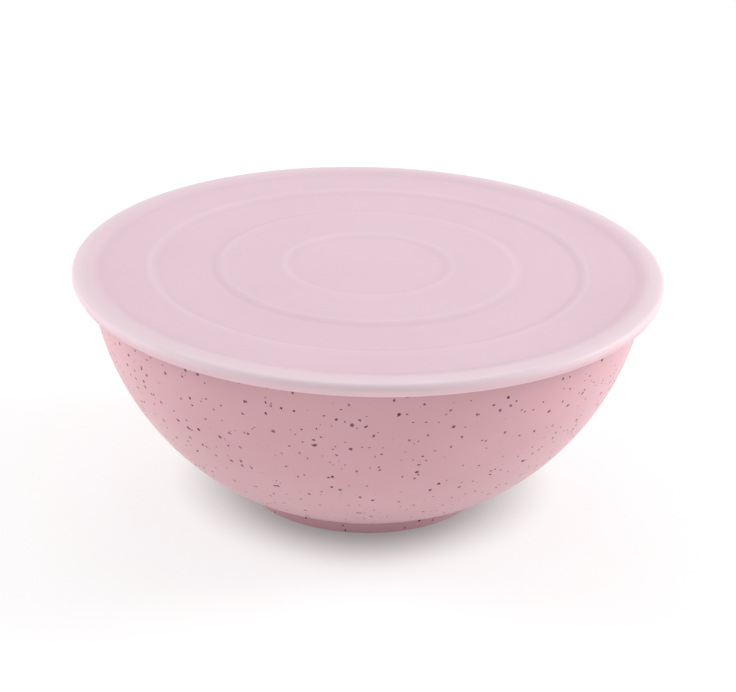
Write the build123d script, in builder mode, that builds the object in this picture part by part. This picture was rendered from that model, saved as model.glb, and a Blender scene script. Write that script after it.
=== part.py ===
from build123d import *
from math import acos, cos, degrees, radians, sin, tan
import os

# Round serving bowl for rice, with a foot ring and a lid that presses on over the bowl's lip.
# Millimetres. +Z is up, the table is z = 0, and the origin is the centre of the foot ring's base.
# Both pieces are turned shapes: each section is drawn as (radius, height) and revolved about Z.

# ---- Bowl: wall ----
WALL = 3.0                     # wall thickness, the same from the lip to the floor
WALL_ARC_R = 117.3             # outer radius of the wall's one long arc
WALL_CENTRE = (0.8, 108.44)    # its centre, close to the axis
BLEND_ARC_R = 30.0             # tighter arc where the wall turns under
BLEND_SLOPE = 38.0             # degrees from level where the long arc hands over to the blend
UNDER_SLOPE = 30.0             # degrees from level of the cone between the blend and the foot

# ---- Bowl: foot and floor ----
FOOT_BASE_R = 53.4             # outside of the foot ring at the table, before its edge is rounded
FOOT_TOP_R = 54.7              # outside of the foot ring where it meets the underside
FOOT_INNER_R = 49.6            # inside of the foot ring at the table
FOOT_DRAFT = 0.6               # how much the inside narrows towards the recess
RECESS_DEPTH = 3.8             # the underside inside the foot ring, above the table
FLOOR_Z = 7.0                  # inside floor
FLOOR_BLEND_R = 25.0           # between the inside floor and the wall
GATE_R = 3.0                   # shallow round mark of the moulding gate, under the floor
GATE_DEPTH = 0.5

# ---- Bowl: lip ----
LIP_TOP_Z = 101.0
LIP_UNDER_Z = 98.0
LIP_OUTER_R = 122.2

# ---- Lid: pressed panel, heights of its top face ----
PANEL = 1.6                    # panel thickness, measured straight down
OUTER_LEVEL = 101.14           # flat ring next to the rim
TROUGH_LEVEL = 100.1           # sunken ring
RAISED_LEVEL = 101.1           # raised ring inside the trough
CENTRE_LEVEL = 100.4           # sunken centre disc
OUTER_STEP_R = 92.4            # upper edge of the step down into the trough
RAISED_STEP_R = 62.5           # upper edge of the step up out of the trough
CENTRE_STEP_R = 35.7           # upper edge of the step down to the centre
STEP_RUN = 3.6                 # how far each step's slope reaches sideways
CREST_ROUND = 3.0              # rounding of a step's upper edge
VALLEY_ROUND = 4.0             # rounding of a step's lower edge
UNDER_ROUND = 3.5              # rounding of the same steps on the underside

# ---- Lid: rim over the bowl's lip ----
RIM_FOOT_R = 112.8             # where the panel starts to rise into the rim
RIM_CREST = (117.4, 102.62)    # top of the rim
RIM_OUTER_R = 125.0
RIM_SHOULDER_Z = 101.55        # corner of the shoulder, before it is rounded
SKIRT_BREAK_Z = 98.9           # where the skirt starts to lean in
SKIRT_BOTTOM = (123.7, 96.5)
CHANNEL_OUTER_R = 123.4        # the groove that takes the lip
CHANNEL_INNER_R = 116.4        # inside this its roof slopes down, clear of the lip's rounded edge
BEAD_INNER_R = 122.3           # snap bead at its stretched size, just clear of the lip
BEAD_TOP_Z = 97.3
BEAD_FLANK_Z = 98.2
PLUG_OUTER_R = 114.1           # short wall that goes down inside the lip
PLUG_INNER_R = 112.7
PLUG_TOP_Z = 99.9              # where the sloped roof meets it
PLUG_BOTTOM_Z = 97.6


def on_arc(centre, radius, slope):
    """Point of a hollow-up arc where its tangent stands at this slope from level."""
    return centre[0] + radius * sin(radians(slope)), centre[1] - radius * cos(radians(slope))


def slope_at_height(z, radius):
    """Slope from level of the wall arc of this radius where it passes height z."""
    return degrees(acos((WALL_CENTRE[1] - z) / radius))


def round_corners(profile, corners):
    """Round the profile's corners, given as ((radius, height), rounding) pairs."""
    for corner, rounding in corners:
        fillet(profile.vertices().sort_by_distance(corner)[0], rounding)


def hollow_up_arc(centre, radius, low_slope, high_slope):
    """Arc that climbs outwards from one slope to a steeper one."""
    return CenterArc(centre, radius, low_slope - 90, high_slope - low_slope)


# ---- Bowl ----
blend_centre = on_arc(WALL_CENTRE, WALL_ARC_R - BLEND_ARC_R, BLEND_SLOPE)
inner_wall_r = WALL_ARC_R - WALL
inner_blend_r = BLEND_ARC_R - WALL

under_end = on_arc(blend_centre, BLEND_ARC_R, UNDER_SLOPE)
foot_top = (FOOT_TOP_R, under_end[1] - (under_end[0] - FOOT_TOP_R) * tan(radians(UNDER_SLOPE)))
floor_start = on_arc(blend_centre, inner_blend_r, UNDER_SLOPE)
floor_edge = (floor_start[0] - (floor_start[1] - FLOOR_Z) / tan(radians(UNDER_SLOPE)), FLOOR_Z)

outer_top_slope = slope_at_height(LIP_UNDER_Z, WALL_ARC_R)
inner_top_slope = slope_at_height(LIP_TOP_Z, inner_wall_r)
lip_root = on_arc(WALL_CENTRE, WALL_ARC_R, outer_top_slope)
lip_inner = on_arc(WALL_CENTRE, inner_wall_r, inner_top_slope)

recess_edge = (FOOT_INNER_R - FOOT_DRAFT, RECESS_DEPTH)
foot_inner = (FOOT_INNER_R, 0)
foot_outer = (FOOT_BASE_R, 0)
lip_lower = (LIP_OUTER_R, LIP_UNDER_Z)
lip_upper = (LIP_OUTER_R, LIP_TOP_Z)

with BuildPart() as bowl:
    with BuildSketch(Plane.XZ) as bowl_section:
        with BuildLine():
            Polyline((0, RECESS_DEPTH), recess_edge, foot_inner, foot_outer, foot_top, under_end)
            hollow_up_arc(blend_centre, BLEND_ARC_R, UNDER_SLOPE, BLEND_SLOPE)
            hollow_up_arc(WALL_CENTRE, WALL_ARC_R, BLEND_SLOPE, outer_top_slope)
            Polyline(lip_root, lip_lower, lip_upper, lip_inner)
            hollow_up_arc(WALL_CENTRE, inner_wall_r, BLEND_SLOPE, inner_top_slope)
            hollow_up_arc(blend_centre, inner_blend_r, UNDER_SLOPE, BLEND_SLOPE)
            Polyline(floor_start, floor_edge, (0, FLOOR_Z), (0, RECESS_DEPTH))
        make_face()
        round_corners(bowl_section, [
            (recess_edge, 1.5), (foot_inner, 0.8), (foot_outer, 0.8), (foot_top, 1.6),
            (lip_root, 0.6), (lip_lower, 0.7), (lip_upper, 1.4), (lip_inner, 2.5),
            (floor_edge, FLOOR_BLEND_R),
        ])
    revolve(axis=Axis.Z)
    with BuildSketch(Plane.XY.offset(RECESS_DEPTH)):
        Circle(GATE_R)
    extrude(amount=GATE_DEPTH, mode=Mode.SUBTRACT)

bowl.part.label = "bowl"

# ---- Lid ----
# The panel's top face from the middle outwards. The underside is the same line, PANEL lower.
panel_points = [
    (0, CENTRE_LEVEL),
    (CENTRE_STEP_R - STEP_RUN, CENTRE_LEVEL),
    (CENTRE_STEP_R, RAISED_LEVEL),
    (RAISED_STEP_R, RAISED_LEVEL),
    (RAISED_STEP_R + STEP_RUN, TROUGH_LEVEL),
    (OUTER_STEP_R - STEP_RUN, TROUGH_LEVEL),
    (OUTER_STEP_R, OUTER_LEVEL),
]
step_rounds = [VALLEY_ROUND, CREST_ROUND, CREST_ROUND, VALLEY_ROUND, VALLEY_ROUND, CREST_ROUND]
panel_under = [(r, z - PANEL) for r, z in panel_points]

under_corner = (PLUG_INNER_R, OUTER_LEVEL - PANEL)
rim_foot = (RIM_FOOT_R, OUTER_LEVEL)
shoulder = (RIM_OUTER_R, RIM_SHOULDER_Z)
skirt_break = (RIM_OUTER_R, SKIRT_BREAK_Z)
skirt_inner = (BEAD_INNER_R, SKIRT_BOTTOM[1])
bead_top = (BEAD_INNER_R, BEAD_TOP_Z)
bead_flank = (CHANNEL_OUTER_R, BEAD_FLANK_Z)
channel_outer = (CHANNEL_OUTER_R, LIP_TOP_Z)
channel_inner = (CHANNEL_INNER_R, LIP_TOP_Z)
plug_top = (PLUG_OUTER_R, PLUG_TOP_Z)
plug_outer = (PLUG_OUTER_R, PLUG_BOTTOM_Z)
plug_inner = (PLUG_INNER_R, PLUG_BOTTOM_Z)

with BuildPart() as lid:
    with BuildSketch(Plane.XZ) as lid_section:
        with BuildLine():
            Polyline(
                *panel_points, rim_foot, RIM_CREST, shoulder, skirt_break, SKIRT_BOTTOM,
                skirt_inner, bead_top, bead_flank, channel_outer, channel_inner, plug_top,
                plug_outer, plug_inner, under_corner, *reversed(panel_under), close=True,
            )
        make_face()
        round_corners(lid_section, zip(panel_points[1:], step_rounds))
        round_corners(lid_section, [(corner, UNDER_ROUND) for corner in panel_under[1:]])
        round_corners(lid_section, [
            (rim_foot, 5.0), (RIM_CREST, 6.0), (shoulder, 2.3), (skirt_break, 2.0),
            (SKIRT_BOTTOM, 0.5), (skirt_inner, 0.4), (bead_top, 0.4), (bead_flank, 0.6),
            (channel_outer, 1.5), (channel_inner, 1.0), (plug_top, 0.5), (plug_outer, 0.5),
            (plug_inner, 0.5), (under_corner, 0.8),
        ])
    revolve(axis=Axis.Z)

lid.part.label = "lid"

# ---- One STEP per piece ----
os.makedirs("parts", exist_ok=True)
for piece in (bowl.part, lid.part):
    export_step(piece, f"parts/{piece.label}.step")
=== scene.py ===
import math

import bmesh
import bpy
from mathutils import Matrix, Vector


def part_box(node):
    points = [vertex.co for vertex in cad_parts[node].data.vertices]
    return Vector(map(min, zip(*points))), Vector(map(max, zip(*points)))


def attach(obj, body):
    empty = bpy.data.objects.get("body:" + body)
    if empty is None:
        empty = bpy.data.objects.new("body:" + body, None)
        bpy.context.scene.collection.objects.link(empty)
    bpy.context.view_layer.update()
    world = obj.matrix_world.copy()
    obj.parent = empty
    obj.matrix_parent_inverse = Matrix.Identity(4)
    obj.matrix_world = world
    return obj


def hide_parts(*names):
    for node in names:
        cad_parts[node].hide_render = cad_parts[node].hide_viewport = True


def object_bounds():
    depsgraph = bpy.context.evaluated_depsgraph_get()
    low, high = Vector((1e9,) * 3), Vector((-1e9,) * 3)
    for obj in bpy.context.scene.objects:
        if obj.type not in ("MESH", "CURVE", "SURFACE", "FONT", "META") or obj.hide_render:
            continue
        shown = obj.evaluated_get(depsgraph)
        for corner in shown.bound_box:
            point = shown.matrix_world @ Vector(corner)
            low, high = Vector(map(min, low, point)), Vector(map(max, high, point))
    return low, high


# A speckled pink bowl with a frosted lid. Both are turned shapes, so each is one lathe mesh, made
# from the same section as the CAD node it replaces, in finer steps. The sections are in
# millimetres, everything else is in metres.

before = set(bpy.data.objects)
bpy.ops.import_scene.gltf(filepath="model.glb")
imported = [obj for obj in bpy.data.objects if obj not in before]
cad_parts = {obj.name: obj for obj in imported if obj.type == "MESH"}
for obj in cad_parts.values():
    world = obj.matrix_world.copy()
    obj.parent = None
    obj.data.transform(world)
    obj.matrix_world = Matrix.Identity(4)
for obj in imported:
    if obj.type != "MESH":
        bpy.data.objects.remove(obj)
cad_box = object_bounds()

MM = 0.001


# ---- Turned shapes ----

ARC_STEP = math.radians(9)       # longest turn between two points of a rounded corner
LONG_ARC_STEP = math.radians(1)  # the same on the bowl's long arcs
ARC_RUN = 2.1                    # runs up to this long are steps of an arc, and stay whole
GUARD = 0.25                     # a longer run gets a point this close to each of its ends
LONGEST_RUN = 4.0                # and points no further apart than this between them
SEGMENTS = 320                   # points round each turned piece
ON_AXIS = 1e-6                   # a smaller radius is a point on the axis


def rounded(corners):
    """Points of a line through (radius, height, rounding) corners, with each corner rounded."""
    points = [Vector(corners[0][:2])]
    for before, (*corner, rounding), after in zip(corners, corners[1:], corners[2:]):
        here = Vector(corner)
        if rounding == 0:
            points.append(here)
            continue
        back = (Vector(before[:2]) - here).normalized()
        ahead = (Vector(after[:2]) - here).normalized()
        half = back.angle(ahead) / 2
        centre = here + (back + ahead).normalized() * rounding / math.sin(half)
        start = here + back * rounding / math.tan(half) - centre
        turn = start.angle_signed(here + ahead * rounding / math.tan(half) - centre)
        steps = max(2, math.ceil(abs(turn) / ARC_STEP))
        for step in range(steps + 1):
            points.append(centre + start @ Matrix.Rotation(turn * step / steps, 2))
    points.append(Vector(corners[-1][:2]))
    return points


def long_arc(centre, radius, low_slope, high_slope):
    """Corners along an arc that climbs outwards between two slopes from level, in degrees."""
    low, high = math.radians(low_slope), math.radians(high_slope)
    steps = math.ceil((high - low) / LONG_ARC_STEP)
    slopes = [low + (high - low) * step / steps for step in range(steps + 1)]
    return [(centre[0] + radius * math.sin(s), centre[1] - radius * math.cos(s), 0) for s in slopes]


def with_guards(points):
    """The same line with its straight runs divided, and a point close to each of their ends, so
    that smooth shading stays flat along them."""
    divided = [points[0]]
    for start, end in zip(points, points[1:]):
        run = (end - start).length
        if run > ARC_RUN:
            between = run - 2 * GUARD
            parts = max(1, math.ceil(between / LONGEST_RUN))
            for part in range(parts + 1):
                divided.append(start.lerp(end, (GUARD + between * part / parts) / run))
        divided.append(end)
    return divided


def lathe(name, points):
    """A closed turned piece. Its section starts and ends on the axis, in millimetres."""
    mesh = bpy.data.meshes.new(name)
    work = bmesh.new()
    angles = [2 * math.pi * step / SEGMENTS for step in range(SEGMENTS)]
    rings = []
    for radius, height in points:
        if radius < ON_AXIS:
            rings.append([work.verts.new((0, 0, height * MM))])
        else:
            rings.append([
                work.verts.new((radius * MM * math.cos(a), radius * MM * math.sin(a), height * MM))
                for a in angles
            ])
    for low, high in zip(rings, rings[1:]):
        for step in range(SEGMENTS):
            after = (step + 1) % SEGMENTS
            if len(low) == 1:
                work.faces.new((low[0], high[after], high[step]))
            elif len(high) == 1:
                work.faces.new((low[step], low[after], high[0]))
            else:
                work.faces.new((low[step], low[after], high[after], high[step]))
    bmesh.ops.recalc_face_normals(work, faces=work.faces)
    for face in work.faces:
        face.smooth = True
    work.to_mesh(mesh)
    work.free()
    piece = bpy.data.objects.new(name, mesh)
    bpy.context.scene.collection.objects.link(piece)
    return piece


# ---- Bowl section ----

WALL = 3.0
WALL_CENTRE, WALL_ARC_R = Vector((0.8, 108.44)), 117.3
BLEND_ARC_R, BLEND_SLOPE, UNDER_SLOPE = 30.0, 38.0, 30.0
FOOT_TOP_R, FOOT_BASE_R, FOOT_INNER_R = 54.7, 53.4, 49.6
RECESS_R, RECESS_DEPTH = 49.0, 3.8
GATE_R, GATE_TOP_R, GATE_DEPTH = 3.0, 2.7, 0.5     # moulding mark under the floor
FLOOR_Z, FLOOR_BLEND_R = 7.0, 25.0
LIP_TOP_Z, LIP_UNDER_Z, LIP_OUTER_R = 101.0, 98.0, 122.2


def slope_at(height, radius):
    """Slope from level, in degrees, of the wall arc of this radius where it passes a height."""
    return math.degrees(math.acos((WALL_CENTRE.y - height) / radius))


def bowl_section():
    """The bowl from the middle of its underside, round the foot and lip, to its inside floor."""
    blend_slope, under_slope = math.radians(BLEND_SLOPE), math.radians(UNDER_SLOPE)
    blend_centre = WALL_CENTRE + (WALL_ARC_R - BLEND_ARC_R) * Vector(
        (math.sin(blend_slope), -math.cos(blend_slope)))
    blend = long_arc(blend_centre, BLEND_ARC_R, UNDER_SLOPE, BLEND_SLOPE)
    inner_blend = long_arc(blend_centre, BLEND_ARC_R - WALL, UNDER_SLOPE, BLEND_SLOPE)
    wall = long_arc(WALL_CENTRE, WALL_ARC_R, BLEND_SLOPE, slope_at(LIP_UNDER_Z, WALL_ARC_R))
    inner_r = WALL_ARC_R - WALL
    inner_wall = long_arc(WALL_CENTRE, inner_r, BLEND_SLOPE, slope_at(LIP_TOP_Z, inner_r))
    foot_top_z = blend[0][1] - (blend[0][0] - FOOT_TOP_R) * math.tan(under_slope)
    floor_edge_r = inner_blend[0][0] - (inner_blend[0][1] - FLOOR_Z) / math.tan(under_slope)
    gate_top_z = RECESS_DEPTH + GATE_DEPTH
    return rounded([
        (0, gate_top_z, 0), (GATE_TOP_R, gate_top_z, 0.15), (GATE_R, RECESS_DEPTH, 0.15),
        (RECESS_R, RECESS_DEPTH, 1.5), (FOOT_INNER_R, 0, 0.8), (FOOT_BASE_R, 0, 0.8),
        (FOOT_TOP_R, foot_top_z, 1.6),
        *blend, *wall[1:-1],
        (*wall[-1][:2], 0.6), (LIP_OUTER_R, LIP_UNDER_Z, 0.7), (LIP_OUTER_R, LIP_TOP_Z, 1.4),
        (*inner_wall[-1][:2], 2.5),     # this rounding takes up the last step of the wall's arc
        *reversed(inner_wall[1:-2]), *reversed(inner_blend),
        (floor_edge_r, FLOOR_Z, FLOOR_BLEND_R), (0, FLOOR_Z, 0),
    ])


# ---- Lid section ----

PANEL = 1.6
OUTER_LEVEL, TROUGH_LEVEL, RAISED_LEVEL, CENTRE_LEVEL = 101.14, 100.1, 101.1, 100.4
OUTER_STEP_R, RAISED_STEP_R, CENTRE_STEP_R, STEP_RUN = 92.4, 62.5, 35.7, 3.6
CREST, VALLEY, UNDER = 3.0, 4.0, 3.5               # roundings of the steps
RIM_FOOT_R, RIM_OUTER_R, RIM_SHOULDER_Z = 112.8, 125.0, 101.55
RIM_CREST_R, RIM_CREST_Z = 117.4, 102.62
SKIRT_BREAK_Z, SKIRT_BOTTOM_R, SKIRT_BOTTOM_Z = 98.9, 123.7, 96.5
BEAD_R, BEAD_TOP_Z, BEAD_FLANK_Z = 122.3, 97.3, 98.2
CHANNEL_OUTER_R, CHANNEL_INNER_R = 123.4, 116.4    # the groove that takes the lip
PLUG_OUTER_R, PLUG_INNER_R = 114.1, 112.7          # short wall that goes down inside the lip
PLUG_TOP_Z, PLUG_BOTTOM_Z = 99.9, 97.6


def lid_section():
    """The lid from the middle of its top, out over the rim, and back along its underside."""
    top = [
        (CENTRE_STEP_R - STEP_RUN, CENTRE_LEVEL, VALLEY),
        (CENTRE_STEP_R, RAISED_LEVEL, CREST),
        (RAISED_STEP_R, RAISED_LEVEL, CREST),
        (RAISED_STEP_R + STEP_RUN, TROUGH_LEVEL, VALLEY),
        (OUTER_STEP_R - STEP_RUN, TROUGH_LEVEL, VALLEY),
        (OUTER_STEP_R, OUTER_LEVEL, CREST),
    ]
    underside = [(r, z - PANEL, UNDER) for r, z, _ in reversed(top)]
    return rounded([
        (0, CENTRE_LEVEL, 0),
        *top,
        (RIM_FOOT_R, OUTER_LEVEL, 5.0), (RIM_CREST_R, RIM_CREST_Z, 6.0),
        (RIM_OUTER_R, RIM_SHOULDER_Z, 2.3), (RIM_OUTER_R, SKIRT_BREAK_Z, 2.0),
        (SKIRT_BOTTOM_R, SKIRT_BOTTOM_Z, 0.5), (BEAD_R, SKIRT_BOTTOM_Z, 0.4),
        (BEAD_R, BEAD_TOP_Z, 0.4), (CHANNEL_OUTER_R, BEAD_FLANK_Z, 0.6),
        (CHANNEL_OUTER_R, LIP_TOP_Z, 1.5), (CHANNEL_INNER_R, LIP_TOP_Z, 1.0),
        (PLUG_OUTER_R, PLUG_TOP_Z, 0.5), (PLUG_OUTER_R, PLUG_BOTTOM_Z, 0.5),
        (PLUG_INNER_R, PLUG_BOTTOM_Z, 0.5), (PLUG_INNER_R, OUTER_LEVEL - PANEL, 0.8),
        *underside,
        (0, CENTRE_LEVEL - PANEL, 0),
    ])


# ---- Material nodes ----

PLASTIC_IOR = 1.5
SATIN = (0.40, 0.48)             # roughness of both plastics, from place to place
BUMP_HEIGHT = 0.00003
NOISE_RANGE = (0.3, 0.7)         # noise mostly stays between these
COLOUR_MIX_INPUTS = (0, 6, 7)    # a mix node's sockets for a factor and two colours
COLOUR_MIX_RESULT = 2


def new_material(name):
    """An empty node material, as (material, its node tree)."""
    material = bpy.data.materials.new(name)
    material.use_nodes = True
    material.node_tree.nodes.clear()
    return material, material.node_tree


def set_input(tree, socket, value):
    """Give an input a value, or link an output socket to it."""
    if isinstance(value, bpy.types.NodeSocket):
        tree.links.new(value, socket)
    else:
        socket.default_value = value


def node(tree, kind, inputs=(), **settings):
    """A node with its settings and inputs."""
    made = tree.nodes.new(kind)
    for key, value in settings.items():
        setattr(made, key, value)
    for key, value in dict(inputs).items():
        set_input(tree, made.inputs[key], value)
    return made


def math_node(tree, operation, *values):
    return node(tree, "ShaderNodeMath", dict(enumerate(values)), operation=operation).outputs[0]


def vector_node(tree, operation, inputs, output="Vector"):
    return node(tree, "ShaderNodeVectorMath", inputs, operation=operation).outputs[output]


def blend_colour(tree, factor, first, second):
    mix = node(tree, "ShaderNodeMix", data_type="RGBA")
    for place, value in zip(COLOUR_MIX_INPUTS, (factor, first, second)):
        set_input(tree, mix.inputs[place], value)
    return mix.outputs[COLOUR_MIX_RESULT]


def ranged(tree, value, low, high, to_low=0.0, to_high=1.0):
    """A smooth step of value from low..high to to_low..to_high."""
    inputs = {0: value, 1: low, 2: high, 3: to_low, 4: to_high}
    return node(tree, "ShaderNodeMapRange", inputs, interpolation_type="SMOOTHSTEP").outputs[0]


def noise(tree, place, scale, detail, output="Fac"):
    """Noise of this many features a metre."""
    inputs = {"Vector": place, "Scale": scale, "Detail": detail}
    return node(tree, "ShaderNodeTexNoise", inputs).outputs[output]


def spread_noise(tree, place, scale, detail, low=0.0, high=1.0):
    """Noise stretched to fill low..high."""
    return ranged(tree, noise(tree, place, scale, detail), *NOISE_RANGE, low, high)


def moulded_bump(tree, place, fine, wave_scale, wave_height, strength):
    """A fine pattern on slow, shallow waves. wave_height is how many times higher they are."""
    waves = math_node(tree, "MULTIPLY", noise(tree, place, wave_scale, detail=2), wave_height)
    inputs = {"Height": math_node(tree, "ADD", fine, waves), "Strength": strength,
              "Distance": BUMP_HEIGHT}
    return node(tree, "ShaderNodeBump", inputs).outputs[0]


# ---- Bowl material: satin plastic with chips of dark filler all through ----

PINK = (0.618, 0.346, 0.382, 1)
PINK_CLOUD = (0.590, 0.326, 0.360, 1)
PINK_DUST, DUST_SHARE, DUST_RANGE = (0.48, 0.25, 0.28, 1), 0.12, (0.62, 0.74)
BOWL_GLOSS, FLECK_GLOSS = 0.52, 0.16
FLECK_ROUGHER = 0.08             # how much rougher a fleck is
FLECK_SUNK = 0.6                 # how far a fleck lies below the grain around it
BOWL_SHEEN, SHEEN_ROUGHNESS = 0.12, 0.4
TEAR = 0.0016                    # how far the edges of the flecks are torn about
FLECK_CORE = 0.80                # share of a fleck's reach within which it is at full strength
FLECK_SKEW = 2.2                 # more than 1 makes most flecks small
NO_FLECK = 1e-4                  # reach in a cell without one, so that it can be divided by
FLECK_PALEST = 0.75              # strength of the palest flecks in a layer
WHOLE, UNTURNED = (1, 1, 1), (0, 0, 0)
FLECK_LAYERS = (
    # colour, strength, spacing, smallest and largest reach, share held, squash, turn
    ((0.055, 0.006, 0.010, 1), 1.0, 0.0043, 0.00046, 0.00096, 0.78, WHOLE, UNTURNED),
    ((0.068, 0.014, 0.032, 1), 1.0, 0.0050, 0.00046, 0.00098, 0.70,
     (1.25, 1.0, 0.9), (0.4, 1.1, 0.3)),
    ((0.105, 0.014, 0.020, 1), 1.0, 0.0052, 0.00044, 0.00094, 0.70,
     (0.9, 1.3, 1.0), (1.3, 0.2, 0.9)),
    ((0.300, 0.150, 0.180, 1), 0.5, 0.0043, 0.00040, 0.00090, 0.65, WHOLE, UNTURNED),
)


def flecks(tree, place, spacing, smallest, largest, share, squash, turn):
    """How far each point is inside a fleck, 0 to 1, and a random value for each fleck.

    One chip sits in each cell of a 3-D Voronoi pattern, spacing apart. share is the share of the
    cells that hold one; squash and turn make the chips longer one way."""
    turned = node(tree, "ShaderNodeMapping", {"Vector": place, "Rotation": turn, "Scale": squash})
    cells = node(tree, "ShaderNodeTexVoronoi",
                 {"Vector": turned.outputs[0], "Scale": 1 / spacing}, voronoi_dimensions="3D")
    random = node(tree, "ShaderNodeSeparateColor", {"Color": cells.outputs["Color"]})
    skewed = math_node(tree, "POWER", random.outputs[0], FLECK_SKEW)
    reach = node(tree, "ShaderNodeMapRange", {
        0: skewed, 3: smallest / spacing, 4: largest / spacing}).outputs[0]
    held = math_node(tree, "LESS_THAN", random.outputs[1], share)
    reach = math_node(tree, "ADD", math_node(tree, "MULTIPLY", reach, held), NO_FLECK)
    edge = math_node(tree, "DIVIDE", cells.outputs["Distance"], reach)
    return ranged(tree, edge, 1.0, FLECK_CORE), random.outputs[2]


def bowl_material():
    material, tree = new_material("speckled_pink_plastic")
    place = node(tree, "ShaderNodeTexCoord").outputs["Object"]
    ragged = noise(tree, place, scale=900, detail=3, output="Color")
    pull = vector_node(tree, "SUBTRACT", {0: ragged, 1: (0.5, 0.5, 0.5)})
    pull = vector_node(tree, "SCALE", {0: pull, "Scale": TEAR})
    torn = vector_node(tree, "ADD", {0: place, 1: pull})

    cloud = spread_noise(tree, place, scale=22, detail=3)
    colour = blend_colour(tree, cloud, PINK, PINK_CLOUD)
    dust = ranged(tree, noise(tree, place, scale=1500, detail=2), *DUST_RANGE)
    colour = blend_colour(tree, math_node(tree, "MULTIPLY", dust, DUST_SHARE), colour, PINK_DUST)
    speck = 0.0
    for tint, strength, *layer in FLECK_LAYERS:
        inside, shade = flecks(tree, torn, *layer)
        amount = math_node(tree, "MULTIPLY", inside, strength)
        amount = math_node(tree, "MULTIPLY", amount, ranged(tree, shade, 0.0, 1.0, FLECK_PALEST))
        colour = blend_colour(tree, amount, colour, tint)
        speck = math_node(tree, "MAXIMUM", speck, amount)

    rougher = math_node(tree, "MULTIPLY", speck, FLECK_ROUGHER)
    satin = spread_noise(tree, place, 70, 4, *SATIN)
    sunk = math_node(tree, "MULTIPLY", speck, -FLECK_SUNK)
    grain = math_node(tree, "ADD", noise(tree, place, scale=2600, detail=3), sunk)
    duller = math_node(tree, "MULTIPLY", speck, FLECK_GLOSS - BOWL_GLOSS)
    surface = node(tree, "ShaderNodeBsdfPrincipled", {
        "Base Color": colour, "Roughness": math_node(tree, "ADD", satin, rougher),
        "Normal": moulded_bump(tree, place, grain, wave_scale=25, wave_height=8.0, strength=0.25),
        "IOR": PLASTIC_IOR, "Specular IOR Level": math_node(tree, "ADD", BOWL_GLOSS, duller),
        "Sheen Weight": BOWL_SHEEN, "Sheen Roughness": SHEEN_ROUGHNESS,
    })
    node(tree, "ShaderNodeOutputMaterial", {"Surface": surface.outputs[0]})
    return material


# ---- Lid material: frosted milky plastic that lets light through without showing shapes ----

PANEL_COLOUR = (0.876, 0.720, 0.788, 1)
PANEL_CLOUD = (0.856, 0.698, 0.766, 1)
# painted shade along the lower edge of each step, in the crease
VALLEY_SHADE_COLOUR, VALLEY_SHADE_SHARE = (0.770, 0.585, 0.655, 1), 0.25
# painted highlight along the upper edge of each step
CREST_HIGHLIGHT_COLOUR, CREST_HIGHLIGHT_SHARE = (0.905, 0.785, 0.840, 1), 0.6
RIM_COLOUR = (0.785, 0.688, 0.730, 1)
SKIRT_COLOUR = (0.890, 0.660, 0.715, 1)
GLOW = (0.940, 0.840, 0.890, 1)
FROST_SHARE, FROST_RANGE = 0.25, (0.5, 0.9)
LID_GLOSS = 0.30
PANEL_THROUGH, RIM_THROUGH = 0.50, 0.35  # share of the light that goes through each face
RIM_START, RIM_END = 0.1115, 0.1235      # radii between which the panel turns into the rim
SKIRT_TOP, SKIRT_LOW = 0.1022, 0.0978    # heights between which the skirt turns pinker
EDGE_REACH, EDGE_CORE = 0.0020, 0.0002   # painted highlight and shade lines along the edges of the steps, half their width


def near_any(tree, radius, radii):
    """1 on each of these radii, in millimetres, fading to 0 at EDGE_REACH from it."""
    total = 0.0
    for wanted in radii:
        gap = math_node(tree, "ABSOLUTE", math_node(tree, "SUBTRACT", radius, wanted * MM))
        total = math_node(tree, "ADD", total, ranged(tree, gap, EDGE_REACH, EDGE_CORE))
    return total


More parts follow.
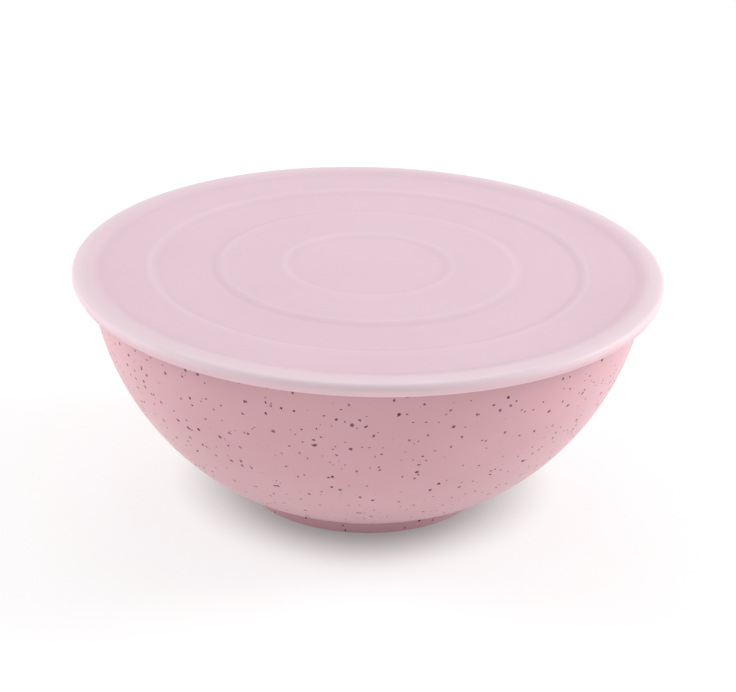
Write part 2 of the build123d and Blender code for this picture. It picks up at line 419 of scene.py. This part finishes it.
def lid_material():
    """Painted highlight: a paler line along the upper edge of each step. Painted shade: a pinker,
    darker line along the lower edge. The rim is thicker, so less of the pink bowl shows through it."""
    material, tree = new_material("frosted_milky_plastic")
    place = node(tree, "ShaderNodeTexCoord").outputs["Object"]
    level = vector_node(tree, "MULTIPLY", {0: place, 1: (1, 1, 0)})
    radius = vector_node(tree, "LENGTH", {0: level}, "Value")
    rim = ranged(tree, radius, RIM_START, RIM_END)
    # painted highlight lines along the upper edges of the steps, painted shade lines along the
    # lower edges
    crest_highlights = near_any(tree, radius, (CENTRE_STEP_R, RAISED_STEP_R, OUTER_STEP_R))
    valley_shades = near_any(tree, radius, (
        CENTRE_STEP_R - STEP_RUN, RAISED_STEP_R + STEP_RUN, OUTER_STEP_R - STEP_RUN))

    cloud = spread_noise(tree, place, scale=18, detail=4)
    colour = blend_colour(tree, cloud, PANEL_COLOUR, PANEL_CLOUD)
    frost = noise(tree, place, scale=3200, detail=3)
    height = node(tree, "ShaderNodeSeparateXYZ", {0: place}).outputs[2]
    skirt = ranged(tree, height, SKIRT_TOP, SKIRT_LOW)
    for amount, tint in (
        (ranged(tree, frost, *FROST_RANGE, 0.0, FROST_SHARE), PANEL_CLOUD),
        (math_node(tree, "MULTIPLY", valley_shades, VALLEY_SHADE_SHARE), VALLEY_SHADE_COLOUR),
        (math_node(tree, "MULTIPLY", crest_highlights, CREST_HIGHLIGHT_SHARE), CREST_HIGHLIGHT_COLOUR),
        (rim, RIM_COLOUR),
        (math_node(tree, "MULTIPLY", skirt, rim), SKIRT_COLOUR),
    ):
        colour = blend_colour(tree, amount, colour, tint)

    bump = moulded_bump(tree, place, frost, wave_scale=16, wave_height=14.0, strength=0.3)
    surface = node(tree, "ShaderNodeBsdfPrincipled", {
        "Base Color": colour, "Roughness": spread_noise(tree, place, 90, 4, *SATIN),
        "Normal": bump, "IOR": PLASTIC_IOR, "Specular IOR Level": LID_GLOSS,
    })
    glow = node(tree, "ShaderNodeBsdfTranslucent", {"Color": GLOW, "Normal": bump})
    through = ranged(tree, rim, 0.0, 1.0, PANEL_THROUGH, RIM_THROUGH)
    both = node(tree, "ShaderNodeMixShader", {
        0: through, 1: surface.outputs[0], 2: glow.outputs[0]})
    node(tree, "ShaderNodeOutputMaterial", {"Surface": both.outputs[0]})
    return material


# ---- Pieces ----

def fit_in_box(mesh, box):
    """Bring the mesh, by a few hundredths of a millimetre, inside the box of the CAD node."""
    low, high = box
    across = min(-low.x, high.x, -low.y, high.y) / max(vertex.co.x for vertex in mesh.vertices)
    bottom = min(vertex.co.z for vertex in mesh.vertices)
    upright = (high.z - low.z) / (max(vertex.co.z for vertex in mesh.vertices) - bottom)
    for vertex in mesh.vertices:
        x, y, z = vertex.co
        vertex.co = (x * across, y * across, low.z + (z - bottom) * upright)


def add_piece(name, section, material, body):
    """The finished piece, riding on its body in place of the CAD node of the same body."""
    piece = lathe(name, with_guards(section))
    fit_in_box(piece.data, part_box(body))
    piece.data.materials.append(material)
    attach(piece, body)
    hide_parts(body)


add_piece("bowl_body", bowl_section(), bowl_material(), "bowl")
add_piece("lid_body", lid_section(), lid_material(), "lid")


# ---- Floor ----

FLOOR_SIZE = 12.0
FLOOR_GAP = 0.00005              # keeps the floor off the flat of the foot ring
FLOOR_COLOUR = (0.36, 0.36, 0.36, 1)
FLOOR_MOTTLE, MOTTLE_SHARE = (0.35, 0.35, 0.35, 1), 0.3
FLOOR_GLOW = 0.60                # the floor is lit from below, so shadows on it stay pale
FLOOR_DIM = 0.28                 # share of that glow under the bowl: a painted shadow round its foot, which also sends less light onto the foot
FLOOR_DIM_R = (0.050, 0.088)     # radii between which it rises to the whole of it
FLOOR_FAR_GLOW = 0.40            # added behind the softboxes, which don't light the floor there
FLOOR_FAR_R = (1.0, 1.8)         # radii between which that comes in


def add_floor():
    mesh = bpy.data.meshes.new("floor")
    half = FLOOR_SIZE / 2
    mesh.from_pydata([(-half, -half, 0), (half, -half, 0), (half, half, 0), (-half, half, 0)],
                     [], [(0, 1, 2, 3)])
    floor = bpy.data.objects.new("floor", mesh)
    bpy.context.scene.collection.objects.link(floor)
    floor.location.z = cad_box[0][2] - FLOOR_GAP
    material, tree = new_material("pale_studio_floor")
    place = node(tree, "ShaderNodeTexCoord").outputs["Object"]
    mottle = spread_noise(tree, place, 30, 4, 0.0, MOTTLE_SHARE)
    distance = vector_node(tree, "LENGTH", {0: place}, "Value")
    # the glow is cut down under and round the bowl: a painted shadow round the foot
    near_glow = ranged(tree, distance, *FLOOR_DIM_R, FLOOR_DIM * FLOOR_GLOW, FLOOR_GLOW)
    far_glow = ranged(tree, distance, *FLOOR_FAR_R, 0.0, FLOOR_FAR_GLOW)
    surface = node(tree, "ShaderNodeBsdfPrincipled", {
        "Base Color": blend_colour(tree, mottle, FLOOR_COLOUR, FLOOR_MOTTLE),
        "Roughness": 0.9, "Specular IOR Level": 0.1, "Emission Color": (1, 1, 1, 1),
        "Emission Strength": math_node(tree, "ADD", near_glow, far_glow),
    })
    node(tree, "ShaderNodeOutputMaterial", {"Surface": surface.outputs[0]})
    mesh.materials.append(material)


# ---- Light ----

SKY_ALL, SKY_SIDES, SKY_BACK = 0.30, 1.35, 0.12
SOFTBOXES = (
    # name, place, size, watts
    ("left_softbox", (-1.5, 0.3, 0.9), 0.8, 16.6),
    ("right_softbox", (1.5, 0.3, 0.9), 0.8, 23.2),
    ("back_softbox", (0.0, 1.3, 1.3), 0.6, 3.0),
    ("top_softbox", (0.0, 0.0, 1.6), 1.0, 2.5),
)


def add_sky():
    """A white studio all round, brightest at the two sides."""
    world = bpy.data.worlds.new("white_studio")
    bpy.context.scene.world = world
    world.use_nodes = True
    tree = world.node_tree
    tree.nodes.clear()
    way = node(tree, "ShaderNodeTexCoord").outputs["Generated"]
    x, y, _ = node(tree, "ShaderNodeSeparateXYZ", {0: way}).outputs
    strength = SKY_ALL
    for direction, share in ((math_node(tree, "ABSOLUTE", x), SKY_SIDES),
                             (math_node(tree, "MAXIMUM", y, 0.0), SKY_BACK)):
        squared = math_node(tree, "MULTIPLY", direction, direction)
        added = math_node(tree, "MULTIPLY", squared, share)
        strength = math_node(tree, "ADD", strength, added)
    sky = node(tree, "ShaderNodeBackground", {"Color": (1, 1, 1, 1), "Strength": strength})
    node(tree, "ShaderNodeOutputWorld", {"Surface": sky.outputs[0]})


def look_at(holder, aim):
    """The turn, as a quaternion, that points a light or camera at a place."""
    return (aim - holder.location).to_track_quat("-Z", "Y")


def add_softbox(name, place, size, watts):
    """A square area light aimed at the lid."""
    light = bpy.data.lights.new(name, "AREA")
    light.shape = "SQUARE"
    light.size = size
    light.energy = watts
    lamp = bpy.data.objects.new(name, light)
    lamp.location = place
    lamp.rotation_euler = look_at(lamp, Vector((0, 0, cad_box[1][2]))).to_euler()
    bpy.context.scene.collection.objects.link(lamp)


# ---- Camera ----

CAMERA_DISTANCE = 0.875          # from the axis, level with the lid's flat ring
CAMERA_ELEVATION = math.radians(21.58)
CAMERA_ROLL = math.radians(1.54)
CAMERA_AIM = Vector((0.0007, 0, 0.0625))
LENS, SENSOR_WIDTH = 100.75, 36.0  # millimetres


def add_camera():
    lid_centre = Vector((0, 0, OUTER_LEVEL * MM))
    away = Vector((0, -math.cos(CAMERA_ELEVATION), math.sin(CAMERA_ELEVATION)))
    camera = bpy.data.cameras.new("camera")
    camera.lens = LENS
    camera.sensor_width = SENSOR_WIDTH
    camera.sensor_fit = "HORIZONTAL"
    holder = bpy.data.objects.new("camera", camera)
    holder.location = lid_centre + away * CAMERA_DISTANCE
    turned = look_at(holder, CAMERA_AIM).to_matrix() @ Matrix.Rotation(CAMERA_ROLL, 3, "Z")
    holder.rotation_euler = turned.to_euler()
    bpy.context.scene.collection.objects.link(holder)
    bpy.context.scene.camera = holder


add_floor()
add_sky()
for softbox in SOFTBOXES:
    add_softbox(*softbox)
add_camera()
bpy.context.scene.view_settings.view_transform = "Standard"
